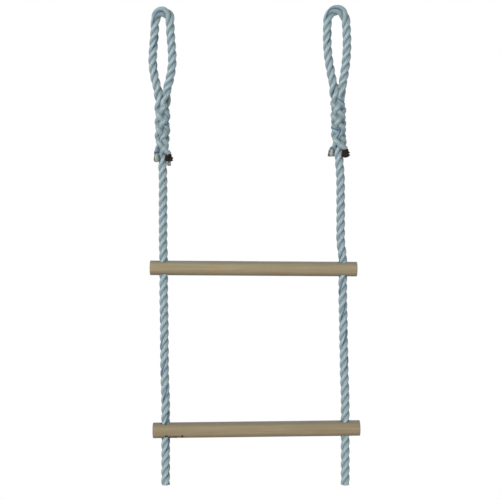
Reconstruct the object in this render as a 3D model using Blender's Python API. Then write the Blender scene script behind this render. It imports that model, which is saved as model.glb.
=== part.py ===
"""Escape rope ladder: two three-strand ropes, each with a spliced hanging eye, and two turned wooden rungs.

Metres, +Z up, +Y away from the front. The origin is midway between the side ropes, at the height where the
two eyes hang. Each rope is one rope: below its splice it is cut into short links, so that it can bend.
"""

import math

import bmesh
import bpy
from mathutils import Matrix, Vector

ROPE_R = 0.008
ROPE_SIDES = 16
GAP = 0.0003

# Each side rope: where it runs, from the splice down. X is followed link by link, Z is shared by both ropes.
LEFT_X = {"top": -0.1694, "upper": -0.1691, "rung_1": -0.1679,
          "middle": -0.1667, "low": -0.1664, "rung_2": -0.1643}
RIGHT_X = {"top": 0.1604, "upper": 0.1626, "rung_1": 0.1665,
           "middle": 0.1679, "low": 0.1690, "rung_2": 0.1711}

# Hinge heights down a rope, with the name of the X that the rope has there.
TOP_SWING = ("top", -0.292)
UPPER_SWAY = ("upper", -0.324)
UPPER_LEVEL = ("upper", -0.405)
RUNG_1_ABOVE = ("rung_1", -0.434)
RUNG_1_BELOW = ("rung_1", -0.513)
FOLD_UPPER = ("middle", -0.590)
FOLD_LOWER = ("low", -0.648)
RUNG_2_ABOVE = ("rung_2", -0.725)
TAIL_SWING = ("rung_2", -0.813)
ROPE_END = ("rung_2", -0.8735)

# A link's upper hinge is this far above its flat top, and its lower end is a ball about its lower hinge.
KNUCKLE = ROPE_R + 0.0005
# The rings that shape a ball end, in degrees from its widest ring towards its tip.
BALL_RINGS = (0, 22, 44, 66)

RUNG_LENGTH = 0.386
RUNG_CHAMFER = 0.0012
RUNG_SIDES = 40
# The rung's facets are turned a little, so that no facet edge runs into a hole's own corner.
RUNG_TURN = math.radians(3.1)
# centre X, centre Z, radius, and the slope of the rung in degrees, up to the right.
RUNGS = {"rung_1": (-0.0001, -0.4697, 0.0137, -0.36), "rung_2": (0.0053, -0.7698, 0.0144, 0.70)}
ROPE_HOLE_R = ROPE_R + 0.0005
HOLE_SIDES = 24

PIN_R = 0.0015
PIN_HOLE_R = PIN_R + GAP
PIN_DEPTH = 0.0100
PIN_HEAD_R = 0.0030
PIN_HEAD_THICK = 0.0012
PIN_SINK_R = 0.0035
PIN_SINK_DEPTH = 0.0020
PIN_SIDES = 16
# Along a pin: how long its point is, how blunt the point is, and where the head's edge starts to round off.
PIN_POINT = 0.003
PIN_BLUNT = 0.3
PIN_HEAD_EDGE = 0.7
PIN_HEAD_CROWN = 0.8

# Each eye: how far the loop's line stands off its middle at each height, from the throat up to the crown.
EYES = {
    "left": {
        "throat": (-0.1703, -0.1370),
        "crown": (-0.1698, 0.0100),
        "half_widths": ((0.0084, -0.1370), (0.0088, -0.1345), (0.0122, -0.1224), (0.0150, -0.1100),
                        (0.0177, -0.0925), (0.0183, -0.0775), (0.0170, -0.0551), (0.0150, -0.0327),
                        (0.0138, -0.0080), (0.0105, 0.0045)),
    },
    "right": {
        "throat": (0.1576, -0.1260),
        "crown": (0.1550, 0.0125),
        "half_widths": ((0.0084, -0.1260), (0.0086, -0.1235), (0.0103, -0.1180), (0.0134, -0.0999),
                        (0.0166, -0.0780), (0.0182, -0.0560), (0.0184, -0.0400), (0.0179, -0.0215),
                        (0.0168, -0.0060), (0.0112, 0.0085)),
    },
}
EYE_SAMPLES = 4

# Each splice: X and Z of its top and of its shoulder, where the tucked strands end.
SPLICES = {"left": ((-0.1703, -0.1380), (-0.1702, -0.2560)), "right": ((0.1576, -0.1270), (0.1592, -0.2470))}
# Along the splice from top to shoulder: the share of the way down, half the width and half the depth.
SPLICE_FORM = ((0.0, 0.0164, 0.0092), (0.10, 0.0160, 0.0112), (0.28, 0.0150, 0.0132), (0.60, 0.0146, 0.0138),
               (0.90, 0.0140, 0.0136), (1.0, 0.0128, 0.0126))
SPLICE_SIDES = 24

# The three cut and melted strand ends under each shoulder: bearing in degrees from +X, radius, length and
# outward lean.
STRAND_ENDS = {
    "left": (("burnt", -27, 0.0052, 0.0150, 0.05), ("bead", 217, 0.0044, 0.0160, 0.0),
             ("pale", 25, 0.0033, 0.0215, 0.06)),
    "right": (("burnt", -36, 0.0054, 0.0165, 0.0), ("cut", 148, 0.0056, 0.0125, 0.12),
              ("pale", 60, 0.0036, 0.0120, 0.10)),
}
# Along a strand end: the share of its length, and its radius as a share of its own.
STRAND_FORM = ((0.0, 1.0), (0.6, 1.0), (0.88, 0.86), (1.0, 0.5))
STRAND_SIDES = 14


def clear_scene():
    for old in list(bpy.data.objects):
        bpy.data.objects.remove(old, do_unlink=True)


def material(name, color, roughness, metallic=0.0):
    made = bpy.data.materials.new(name)
    made.use_nodes = True
    shader = made.node_tree.nodes["Principled BSDF"]
    shader.inputs["Base Color"].default_value = (*color, 1.0)
    shader.inputs["Roughness"].default_value = roughness
    shader.inputs["Metallic"].default_value = metallic
    return made


def add_object(name, mesh, finish):
    mesh.materials.append(finish)
    mesh.shade_smooth()
    mesh.set_sharp_from_angle(angle=math.radians(40))
    made = bpy.data.objects.new(name, mesh)
    bpy.context.scene.collection.objects.link(made)
    return made


def mesh_from(name, build):
    """A mesh filled by build, which takes a bmesh, with its faces turned outwards."""
    shape = bmesh.new()
    build(shape)
    bmesh.ops.recalc_face_normals(shape, faces=shape.faces)
    mesh = bpy.data.meshes.new(name)
    shape.to_mesh(mesh)
    shape.free()
    return mesh


def ring(centre, along, across, half_across, half_other, sides):
    """Points round an ellipse square to along, starting on the across side."""
    other = along.cross(across).normalized()
    turns = [2 * math.pi * i / sides for i in range(sides)]
    return [centre + across * (half_across * math.cos(a)) + other * (half_other * math.sin(a)) for a in turns]


def loft(shape, rings, pointed_end=None):
    """Skins rings of equal count and closes both ends, the last one to a point where one is given."""
    rows = [[shape.verts.new(point) for point in points] for points in rings]
    count = len(rows[0])
    for upper, lower in zip(rows, rows[1:]):
        for i in range(count):
            j = (i + 1) % count
            shape.faces.new((upper[i], upper[j], lower[j], lower[i]))
    shape.faces.new(rows[0])
    if pointed_end is None:
        shape.faces.new(rows[-1])
        return
    tip = shape.verts.new(pointed_end)
    for i in range(count):
        shape.faces.new((rows[-1][i], rows[-1][(i + 1) % count], tip))


def ball_end(pivot, along, across, sides):
    """Rings of the half ball about a hinge, and its tip."""
    rings = []
    for angle in BALL_RINGS:
        turn = math.radians(angle)
        radius = ROPE_R * math.cos(turn)
        rings.append(ring(pivot + along * (ROPE_R * math.sin(turn)), along, across, radius, radius, sides))
    return rings, pivot + along * ROPE_R


def point_on(rope_x, place):
    key, z = place
    return Vector((rope_x[key], 0, z))


def link(name, start, end, finish, flat_end=False):
    """A stretch of rope from below the hinge at start to the hinge at end, or to a flat cut at end."""
    along = (end - start).normalized()
    across = (Vector((1, 0, 0)) - along * along.x).normalized()
    first = ring(start + along * KNUCKLE, along, across, ROPE_R, ROPE_R, ROPE_SIDES)

    def build(shape):
        if flat_end:
            loft(shape, [first, ring(end, along, across, ROPE_R, ROPE_R, ROPE_SIDES)])
        else:
            rings, tip = ball_end(end, along, across, ROPE_SIDES)
            loft(shape, [first, *rings], tip)

    return add_object(name, mesh_from(name, build), finish)


def cutter(name, radius, low, high):
    """A hidden round bar from low to high, for cutting a hole."""
    centre, along = (low + high) / 2, high - low
    turn = Vector((0, 0, 1)).rotation_difference(along).to_matrix().to_4x4()
    place = Matrix.Translation(centre) @ turn

    def build(shape):
        bmesh.ops.create_cone(shape, cap_ends=True, segments=HOLE_SIDES, radius1=radius, radius2=radius,
                              depth=along.length, matrix=place)

    made = bpy.data.objects.new(name, mesh_from(name, build))
    bpy.context.scene.collection.objects.link(made)
    made.hide_render = True
    made.display_type = "WIRE"
    return made


def cut(piece, tool):
    made = piece.modifiers.new(tool.name, "BOOLEAN")
    made.operation = "DIFFERENCE"
    made.solver = "EXACT"
    made.object = tool


def rung_height(rung, x):
    """The height of a rung's own centre line at x."""
    centre_x, centre_z, _, slope = RUNGS[rung]
    return centre_z + (x - centre_x) * math.tan(math.radians(slope))


def rung(name, finish):
    centre_x, centre_z, radius, slope = RUNGS[name]
    along = Vector((math.cos(math.radians(slope)), 0, math.sin(math.radians(slope))))
    across = Vector((0, math.cos(RUNG_TURN), 0)) + along.cross(Vector((0, 1, 0))) * math.sin(RUNG_TURN)
    middle, half = Vector((centre_x, 0, centre_z)), RUNG_LENGTH / 2
    steps = ((-half, radius - RUNG_CHAMFER), (-half + RUNG_CHAMFER, radius), (half - RUNG_CHAMFER, radius),
             (half, radius - RUNG_CHAMFER))

    def build(shape):
        loft(shape, [ring(middle + along * at, along, across, size, size, RUNG_SIDES) for at, size in steps])

    made = add_object(name, mesh_from(name, build), finish)
    for side, rope_x in (("left", LEFT_X), ("right", RIGHT_X)):
        x, reach = rope_x[name], Vector((0, 0, 2 * radius))
        hole = Vector((x, 0, centre_z))
        cut(made, cutter(f"{name}_{side}_rope_hole", ROPE_HOLE_R, hole - reach, hole + reach))
        cut(made, pin_hole(name, side, x))
        sink_floor = Vector((x, radius - PIN_SINK_DEPTH, rung_height(name, x)))
        sink_mouth = sink_floor + Vector((0, radius, 0))
        cut(made, cutter(f"{name}_{side}_pin_sink", PIN_SINK_R, sink_floor, sink_mouth))
    return made


def pin_hole(rung_name, side, x):
    """The hole for a pin, from behind the rung, through the rope and into the front wall."""
    radius, z = RUNGS[rung_name][2], rung_height(rung_name, x)
    name = f"{rung_name}_{side}_pin_hole"
    if name in bpy.data.objects:
        return bpy.data.objects[name]
    return cutter(name, PIN_HOLE_R, Vector((x, -PIN_DEPTH - GAP, z)), Vector((x, 2 * radius, z)))


def pin(rung_name, side, x, finish):
    """A nail with its head sunk in the rung's back."""
    radius, z = RUNGS[rung_name][2], rung_height(rung_name, x)
    head = radius - PIN_SINK_DEPTH + GAP
    steps = ((-PIN_DEPTH, PIN_R * PIN_BLUNT), (-PIN_DEPTH + PIN_POINT, PIN_R), (head, PIN_R),
             (head, PIN_HEAD_R), (head + PIN_HEAD_THICK * PIN_HEAD_EDGE, PIN_HEAD_R),
             (head + PIN_HEAD_THICK, PIN_HEAD_R * PIN_HEAD_CROWN))
    along, across = Vector((0, 1, 0)), Vector((1, 0, 0))

    def build(shape):
        loft(shape, [ring(Vector((x, y, z)), along, across, size, size, PIN_SIDES) for y, size in steps])

    name = f"{rung_name}_{side}_pin"
    return add_object(name, mesh_from(name, build), finish)


def through_rung(name, rung_name, side, rope_x, above, below, finish):
    """The rope inside a rung, drilled for the pin."""
    piece = link(name, point_on(rope_x, above), point_on(rope_x, below), finish)
    cut(piece, pin_hole(rung_name, side, rope_x[rung_name]))
    return piece


def smooth_route(points, samples):
    """A smooth curve through all the points, with that many steps between each two."""
    ends = [points[0] * 2 - points[1], *points, points[-1] * 2 - points[-2]]
    route = []
    for before, a, b, after in zip(ends, ends[1:], ends[2:], ends[3:]):
        for step in range(samples):
            t = step / samples
            bend = (2 * a + (b - before) * t + (2 * before - 5 * a + 4 * b - after) * t ** 2
                    + (3 * a - before - 3 * b + after) * t ** 3)
            route.append(bend / 2)
    return [*route, points[-1]]


def eye(side, finish):
    """The rope's loop above the splice, open at the throat, where both legs go into the splice."""
    facts = EYES[side]
    (throat_x, throat_z), (crown_x, crown_z) = facts["throat"], facts["crown"]
    height = crown_z - throat_z

    def middle(z):
        return throat_x + (crown_x - throat_x) * (z - throat_z) / height

    up = [Vector((middle(z) - half, 0, z)) for half, z in facts["half_widths"]]
    down = [Vector((middle(z) + half, 0, z)) for half, z in reversed(facts["half_widths"])]
    route = smooth_route([*up, Vector((crown_x, 0, crown_z)), *down], EYE_SAMPLES)
    name = f"{side}_eye"
    curve = bpy.data.curves.new(name, "CURVE")
    curve.dimensions = "3D"
    curve.bevel_depth = ROPE_R
    curve.bevel_resolution = 4
    curve.use_fill_caps = True
    line = curve.splines.new("POLY")
    line.points.add(len(route) - 1)
    for place, point in zip(line.points, route):
        place.co = (*point, 1)
    curve.materials.append(finish)
    made = bpy.data.objects.new(name, curve)
    bpy.context.scene.collection.objects.link(made)
    return made


def splice(side, rope_x, finish):
    """The fat, tucked stretch under the throat, and the rope that leaves it, down to the first hinge."""
    (top_x, top_z), (shoulder_x, shoulder_z) = SPLICES[side]
    top, shoulder = Vector((top_x, 0, top_z)), Vector((shoulder_x, 0, shoulder_z))
    pivot = point_on(rope_x, TOP_SWING)
    down, across = Vector((0, 0, -1)), Vector((1, 0, 0))
    rings = [ring(top.lerp(shoulder, share), down, across, wide, deep, SPLICE_SIDES)
             for share, wide, deep in SPLICE_FORM]
    rings.append(ring(shoulder, down, across, ROPE_R, ROPE_R, SPLICE_SIDES))
    ball, tip = ball_end(pivot, down, across, SPLICE_SIDES)
    name = f"{side}_splice"
    return add_object(name, mesh_from(name, lambda shape: loft(shape, [*rings, *ball], tip)), finish)


def strand_end(side, kind, bearing, radius, length, lean, finish):
    """One tucked strand's cut end, hanging out of the splice's shoulder beside the rope."""
    shoulder_x, shoulder_z = SPLICES[side][1]
    turn = math.radians(bearing)
    outward = Vector((math.cos(turn), math.sin(turn), 0))
    root = Vector((shoulder_x, 0, shoulder_z - GAP)) + outward * (ROPE_R + radius + 3 * GAP)
    step = Vector((0, 0, -length)) + outward * (lean * length)
    down, across = Vector((0, 0, -1)), Vector((1, 0, 0))

    def build(shape):
        loft(shape, [ring(root + step * share, down, across, radius * size, radius * size, STRAND_SIDES)
                     for share, size in STRAND_FORM])

    name = f"{side}_strand_end_{kind}"
    return add_object(name, mesh_from(name, build), finish)


def side_rope(side, rope_x, finish):
    """Every link of one rope, from the first hinge under the splice to its cut end."""
    spans = (
        ("upper_rope_1", TOP_SWING, UPPER_SWAY),
        ("upper_rope_2", UPPER_SWAY, UPPER_LEVEL),
        ("upper_rope_3", UPPER_LEVEL, RUNG_1_ABOVE),
        ("middle_rope_1", RUNG_1_BELOW, FOLD_UPPER),
        ("middle_rope_2", FOLD_UPPER, FOLD_LOWER),
        ("middle_rope_3", FOLD_LOWER, RUNG_2_ABOVE),
    )
    for name, start, end in spans:
        link(f"{side}_{name}", point_on(rope_x, start), point_on(rope_x, end), finish)
    through_rung(f"{side}_rope_in_rung_1", "rung_1", side, rope_x, RUNG_1_ABOVE, RUNG_1_BELOW, finish)
    through_rung(f"{side}_rope_in_rung_2", "rung_2", side, rope_x, RUNG_2_ABOVE, TAIL_SWING, finish)
    link(f"{side}_rope_tail", point_on(rope_x, TAIL_SWING), point_on(rope_x, ROPE_END), finish, flat_end=True)


def build_ladder():
    clear_scene()
    rope = material("blue_grey_rope", (0.27, 0.35, 0.37), 0.75)
    burnt = material("burnt_strand", (0.02, 0.015, 0.01), 0.5)
    beech = material("beech", (0.34, 0.27, 0.17), 0.6)
    steel = material("pin_steel", (0.42, 0.42, 0.43), 0.4, 1.0)
    for side, rope_x in (("left", LEFT_X), ("right", RIGHT_X)):
        eye(side, rope)
        splice(side, rope_x, rope)
        for kind, bearing, radius, length, lean in STRAND_ENDS[side]:
            strand_end(side, kind, bearing, radius, length, lean, burnt if kind == "burnt" else rope)
        side_rope(side, rope_x, rope)
    for name in RUNGS:
        rung(name, beech)
        pin(name, "left", LEFT_X[name], steel)
        pin(name, "right", RIGHT_X[name], steel)


build_ladder()
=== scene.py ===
"""The looks of the rope ladder's head section: laid rope, spliced hanging eyes and turned rungs."""

import math

import bmesh
import bpy
import numpy as np
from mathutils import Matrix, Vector, noise


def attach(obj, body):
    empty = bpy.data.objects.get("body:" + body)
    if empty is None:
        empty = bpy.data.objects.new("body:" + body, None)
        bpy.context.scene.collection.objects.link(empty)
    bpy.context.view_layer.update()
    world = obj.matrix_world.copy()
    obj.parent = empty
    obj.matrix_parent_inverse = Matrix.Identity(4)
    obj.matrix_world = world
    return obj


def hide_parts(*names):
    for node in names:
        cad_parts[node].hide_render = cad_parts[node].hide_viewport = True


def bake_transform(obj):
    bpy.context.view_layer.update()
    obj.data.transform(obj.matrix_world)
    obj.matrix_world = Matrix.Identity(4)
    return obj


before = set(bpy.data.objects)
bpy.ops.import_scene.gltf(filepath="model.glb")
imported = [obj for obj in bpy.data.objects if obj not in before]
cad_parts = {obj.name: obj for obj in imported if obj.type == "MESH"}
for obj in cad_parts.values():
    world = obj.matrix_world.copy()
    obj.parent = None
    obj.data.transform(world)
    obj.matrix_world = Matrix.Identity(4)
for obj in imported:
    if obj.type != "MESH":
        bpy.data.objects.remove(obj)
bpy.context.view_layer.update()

scene = bpy.context.scene

# The viewpoint. The ladder hangs in front of a white studio and is seen square on, from about two steps away, at
# the height of its middle.
VIEW_DISTANCE = 1.9
VIEW_WIDTH = 0.934
VIEW_MIDDLE = Vector((-0.0067, 0, -0.4352))
SENSOR = 36.0

camera_data = bpy.data.cameras.new("camera")
camera_data.sensor_width = SENSOR
camera_data.lens = SENSOR * VIEW_DISTANCE / VIEW_WIDTH
camera = bpy.data.objects.new("camera", camera_data)
camera.location = VIEW_MIDDLE - Vector((0, VIEW_DISTANCE, 0))
camera.rotation_euler = (math.radians(90), 0, 0)
scene.collection.objects.link(camera)
scene.camera = camera

# The side ropes. Each is one three-strand rope of blue-grey synthetic fibre, laid to the right, 16 mm thick. Every
# strand is a bundle of yarns twisted the other way, and one yarn in one strand is dark blue, the maker's tracer.
ROPE_R = 0.008
# Lay is the length in which a strand goes once round. A negative lay turns the other way.
LAY = {"left": 0.0502, "right": 0.05095}
USUAL_LAY = 0.050
STRAND_R = 0.00442
HELIX_R = 0.00392
STRAND_STEP = 0.0016
YARNS = 9
YARN_POINTS = 6
YARN_LAY = -0.047
YARN_BULGE = 0.085


def add_node(tree, kind, inputs=(), **settings):
    """A node with its settings made and its sockets filled by values or by other nodes' outputs."""
    made = tree.nodes.new(kind)
    for name, value in settings.items():
        setattr(made, name, value)
    for key, value in dict(inputs).items():
        if isinstance(value, bpy.types.NodeSocket):
            tree.links.new(value, made.inputs[key])
        else:
            made.inputs[key].default_value = value
    return made


def maths(tree, operation, *values):
    return add_node(tree, "ShaderNodeMath", enumerate(values), operation=operation).outputs[0]


def vectors(tree, operation, *values):
    made = add_node(tree, "ShaderNodeVectorMath", enumerate(values), operation=operation)
    return made.outputs["Value" if operation in ("DOT_PRODUCT", "LENGTH", "DISTANCE") else "Vector"]


def stretched(tree, vector, amount):
    made = add_node(tree, "ShaderNodeVectorMath", {0: vector, "Scale": amount}, operation="SCALE")
    return made.outputs["Vector"]


def eased(tree, value, low, high, start=0.0, end=1.0):
    """A value mapped softly from between low and high to between start and end."""
    made = add_node(tree, "ShaderNodeMapRange", {"Value": value, 1: low, 2: high, 3: start, 4: end},
                    interpolation_type="SMOOTHSTEP")
    return made.outputs["Result"]


def geometry_tree(name, inputs):
    """A Geometry Nodes tree with named inputs, and the outputs that its inputs come in by."""
    tree = bpy.data.node_groups.new(name, "GeometryNodeTree")
    tree.interface.new_socket("Geometry", in_out="OUTPUT", socket_type="NodeSocketGeometry")
    for label, kind, value in inputs:
        socket = tree.interface.new_socket(label, in_out="INPUT", socket_type=f"NodeSocket{kind}")
        if value is not None:
            socket.default_value = value
    return tree, tree.nodes.new("NodeGroupInput").outputs


def end_tree(tree, geometry):
    add_node(tree, "NodeGroupOutput", {"Geometry": geometry})


def captured(tree, geometry, fields):
    """Keeps fields as they are now, for use further down the tree."""
    node = tree.nodes.new("GeometryNodeCaptureAttribute")
    for label, (kind, value) in fields.items():
        node.capture_items.new(kind, label)
        tree.links.new(value, node.inputs[label])
    tree.links.new(geometry, node.inputs["Geometry"])
    return node.outputs


def stored(tree, geometry, name, kind, value):
    node = add_node(tree, "GeometryNodeStoreNamedAttribute", {"Name": name}, data_type=kind, domain="POINT")
    tree.links.new(geometry, node.inputs["Geometry"])
    tree.links.new(value, node.inputs["Value"])
    return node.outputs["Geometry"]


SKIN_INPUTS = (
    ("Strand radius", "Float", STRAND_R),
    ("Yarns", "Int", YARNS),
    ("Points per yarn", "Int", YARN_POINTS),
    ("Yarn lay", "Float", YARN_LAY),
    ("Yarn bulge", "Float", YARN_BULGE),
    ("Finish", "Material", None),
)


def yarned_strand_tree():
    """Gives every strand its body: a bundle of yarns that turns as it goes."""
    tree, given = geometry_tree("yarned_strand", (
        ("Strands", "Geometry", None), ("Outward", "Vector", None), ("Running", "Float", 0.0),
        ("Strand", "Float", 0.0), ("Centre", "Vector", None), ("Axis", "Vector", None),
        ("Thickness", "Float", 1.0), ("Crown scale", "Float", 1.0), *SKIN_INPUTS))
    along = tree.nodes.new("GeometryNodeInputTangent").outputs[0]
    lean = vectors(tree, "DOT_PRODUCT", given["Outward"], along)
    square = vectors(tree, "SUBTRACT", given["Outward"], stretched(tree, along, lean))
    square = vectors(tree, "NORMALIZE", square)
    turn = maths(tree, "DIVIDE", maths(tree, "MULTIPLY", given["Running"], 2 * math.pi), given["Yarn lay"])
    facing = add_node(tree, "ShaderNodeVectorRotate", {"Vector": square, "Axis": along, "Angle": turn})
    kept = captured(tree, given["Strands"], {
        "Centre": ("VECTOR", given["Centre"]), "Axis": ("VECTOR", given["Axis"]),
        "Running": ("FLOAT", given["Running"]), "Strand": ("FLOAT", given["Strand"]),
        "Thickness": ("FLOAT", given["Thickness"]), "Crown scale": ("FLOAT", given["Crown scale"]),
        "Facing": ("VECTOR", facing.outputs[0])})
    faced = add_node(tree, "GeometryNodeSetCurveNormal", {"Curve": kept["Geometry"], "Normal": kept["Facing"]},
                     mode="FREE")

    count = maths(tree, "MULTIPLY", given["Yarns"], given["Points per yarn"])
    circle = add_node(tree, "GeometryNodeCurvePrimitiveCircle", {"Resolution": count, "Radius": 1.0},
                      mode="RADIUS")
    place = tree.nodes.new("GeometryNodeInputIndex").outputs[0]
    angle = maths(tree, "DIVIDE", maths(tree, "MULTIPLY", place, 2 * math.pi), count)
    lobe = maths(tree, "ABSOLUTE", maths(tree, "SINE", maths(tree, "MULTIPLY", angle,
                                                             maths(tree, "MULTIPLY", given["Yarns"], 0.5))))
    between = maths(tree, "SUBTRACT", 1.0, given["Yarn bulge"])
    size = maths(tree, "MULTIPLY_ADD", lobe, given["Yarn bulge"], between)
    size = maths(tree, "MULTIPLY", size, given["Strand radius"])
    round_kept = captured(tree, circle.outputs["Curve"], {
        "Cosine": ("FLOAT", maths(tree, "COSINE", angle)), "Sine": ("FLOAT", maths(tree, "SINE", angle)),
        "Lobe": ("FLOAT", lobe), "Angle": ("FLOAT", angle)})
    spot = tree.nodes.new("GeometryNodeInputPosition").outputs[0]
    profile = add_node(tree, "GeometryNodeSetPosition",
                       {"Geometry": round_kept["Geometry"], "Position": stretched(tree, spot, size)})

    body = add_node(tree, "GeometryNodeCurveToMesh", {
        "Curve": faced.outputs[0], "Profile Curve": profile.outputs[0], "Scale": kept["Thickness"],
        "Fill Caps": True}).outputs[0]
    off = vectors(tree, "SUBTRACT", spot, kept["Centre"])
    ahead = vectors(tree, "DOT_PRODUCT", off, kept["Axis"])
    off = vectors(tree, "SUBTRACT", off, stretched(tree, kept["Axis"], ahead))
    fibre = add_node(tree, "ShaderNodeCombineXYZ", {
        0: round_kept["Cosine"], 1: round_kept["Sine"], 2: kept["Running"]})
    first_strand = maths(tree, "LESS_THAN", maths(tree, "ABSOLUTE", kept["Strand"]), 0.5)
    first_yarn = maths(tree, "LESS_THAN", round_kept["Angle"],
                       maths(tree, "DIVIDE", 2 * math.pi + 0.01, given["Yarns"]))
    crown = maths(tree, "MULTIPLY", vectors(tree, "LENGTH", off), kept["Crown scale"])
    body = stored(tree, body, "crown", "FLOAT", crown)
    body = stored(tree, body, "lobe", "FLOAT", round_kept["Lobe"])
    body = stored(tree, body, "fibre", "FLOAT_VECTOR", fibre.outputs[0])
    body = stored(tree, body, "tracer", "FLOAT", maths(tree, "MULTIPLY", first_strand, first_yarn))
    smooth = add_node(tree, "GeometryNodeSetShadeSmooth", {"Geometry": body, "Shade Smooth": True})
    solid = add_node(tree, "GeometryNodeRealizeInstances", {"Geometry": smooth.outputs[0]})
    finished = add_node(tree, "GeometryNodeSetMaterial",
                        {"Geometry": solid.outputs[0], "Material": given["Finish"]})
    end_tree(tree, finished.outputs[0])
    return tree


yarned_strand = yarned_strand_tree()


def skinned(tree, given, strands, **fields):
    """Places the yarned strand group in another tree."""
    group = tree.nodes.new("GeometryNodeGroup")
    group.node_tree = yarned_strand
    tree.links.new(strands, group.inputs["Strands"])
    for label, _, _ in SKIN_INPUTS:
        tree.links.new(given[label], group.inputs[label])
    for label, field in fields.items():
        tree.links.new(field, group.inputs[label.replace("_", " ")])
    end_tree(tree, group.outputs[0])
    return tree


def laid_rope_tree():
    """Lays three strands round the line of a rope."""
    tree, given = geometry_tree("laid_rope", (
        ("Line", "Geometry", None), ("Step", "Float", STRAND_STEP), ("Helix radius", "Float", HELIX_R),
        ("Lay", "Float", USUAL_LAY), ("Start", "Float", 0.0), ("Turn", "Float", 0.0),
        ("Crown swell", "Float", 0.0), ("Crown slack", "Float", 0.0), ("Crown reach", "Float", 0.2),
        ("Crown fatness", "Float", 0.0),
        *SKIN_INPUTS))
    line = add_node(tree, "GeometryNodeMeshToCurve", {"Mesh": given["Line"]}).outputs[0]
    even = add_node(tree, "GeometryNodeResampleCurve", {"Curve": line, "Length": given["Step"]}, mode="LENGTH")
    three = add_node(tree, "GeometryNodeDuplicateElements", {"Geometry": even.outputs[0], "Amount": 3},
                     domain="SPLINE")
    place = tree.nodes.new("GeometryNodeSplineParameter").outputs
    running = maths(tree, "ADD", place["Length"], given["Start"])
    low = maths(tree, "SUBTRACT", 0.5, given["Crown reach"])
    high = maths(tree, "ADD", 0.5, given["Crown reach"])
    slack = maths(tree, "MULTIPLY", eased(tree, place["Factor"], low, high, 1.0, 0.0), given["Crown slack"])
    turned = maths(tree, "DIVIDE", maths(tree, "ADD", running, slack), given["Lay"])
    share = maths(tree, "DIVIDE", three.outputs["Duplicate Index"], 3.0)
    phase = maths(tree, "MULTIPLY_ADD", maths(tree, "SUBTRACT", share, turned), 2 * math.pi, given["Turn"])
    along = tree.nodes.new("GeometryNodeInputTangent").outputs[0]
    behind = add_node(tree, "ShaderNodeCombineXYZ", {0: 0.0, 1: 1.0, 2: 0.0}).outputs[0]
    beside = vectors(tree, "NORMALIZE", vectors(tree, "CROSS_PRODUCT", along, behind))
    nearness = maths(tree, "ABSOLUTE", maths(tree, "SUBTRACT", place["Factor"], 0.5))
    at_crown = eased(tree, nearness, 0.0, given["Crown reach"], 1.0, 0.0)
    swell = maths(tree, "MULTIPLY_ADD", at_crown, given["Crown swell"], 1.0)
    fatness = maths(tree, "MULTIPLY_ADD", at_crown, given["Crown fatness"], 1.0)
    across = stretched(tree, beside, maths(tree, "MULTIPLY", maths(tree, "COSINE", phase), swell))
    outward = vectors(tree, "ADD", across, stretched(tree, behind, maths(tree, "SINE", phase)))
    spot = tree.nodes.new("GeometryNodeInputPosition").outputs[0]
    kept = captured(tree, three.outputs["Geometry"], {
        "Outward": ("VECTOR", outward), "Centre": ("VECTOR", spot), "Axis": ("VECTOR", along),
        "Running": ("FLOAT", running), "Strand": ("FLOAT", three.outputs["Duplicate Index"]),
        "Thickness": ("FLOAT", fatness), "Crown scale": ("FLOAT", maths(tree, "DIVIDE", 1.0, fatness))})
    strands = add_node(tree, "GeometryNodeSetPosition", {
        "Geometry": kept["Geometry"], "Offset": stretched(tree, kept["Outward"], given["Helix radius"])})
    return skinned(tree, given, strands.outputs[0], Outward=kept["Outward"], Centre=kept["Centre"],
                   Axis=kept["Axis"], Running=kept["Running"], Strand=kept["Strand"],
                   Thickness=kept["Thickness"], Crown_scale=kept["Crown scale"])


laid_rope = laid_rope_tree()


def shader_group(name, inputs, outputs):
    """A shader node group with named inputs and outputs, and the outputs that its inputs come in by."""
    tree = bpy.data.node_groups.new(name, "ShaderNodeTree")
    for label, kind, value in inputs:
        socket = tree.interface.new_socket(label, in_out="INPUT", socket_type=f"NodeSocket{kind}")
        if value is not None:
            socket.default_value = value
    for label, kind in outputs:
        tree.interface.new_socket(label, in_out="OUTPUT", socket_type=f"NodeSocket{kind}")
    return tree, tree.nodes.new("NodeGroupInput").outputs


def blotches_group():
    """Soft uneven patches, such as handling and weather leave on rope and on bare wood alike."""
    tree, given = shader_group("blotches", (("Vector", "Vector", None), ("Size", "Float", 0.02),
                                            ("Contrast", "Float", 1.0)), (("Amount", "Float"),))
    scaled = stretched(tree, given["Vector"], maths(tree, "DIVIDE", 1.0, given["Size"]))
    cloud = add_node(tree, "ShaderNodeTexNoise", {
        "Vector": scaled, "Scale": 1.0, "Detail": 3.0, "Roughness": 0.55})
    centred = maths(tree, "SUBTRACT", cloud.outputs["Fac"], 0.5)
    amount = maths(tree, "MULTIPLY_ADD", centred, given["Contrast"], 0.5)
    clamp = add_node(tree, "ShaderNodeClamp", {"Value": amount})
    add_node(tree, "NodeGroupOutput", {"Amount": clamp.outputs[0]})
    return tree


blotches = blotches_group()


def blotched(tree, vector, size, contrast):
    group = tree.nodes.new("ShaderNodeGroup")
    group.node_tree = blotches
    tree.links.new(vector, group.inputs["Vector"])
    group.inputs["Size"].default_value = size
    group.inputs["Contrast"].default_value = contrast
    return group.outputs["Amount"]


def new_material(name):
    """An empty material with its shader and its object coordinates."""
    made = bpy.data.materials.new(name)
    made.use_nodes = True
    tree = made.node_tree
    shader = tree.nodes["Principled BSDF"]
    place = tree.nodes.new("ShaderNodeTexCoord").outputs["Object"]
    return made, tree, shader, place


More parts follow.
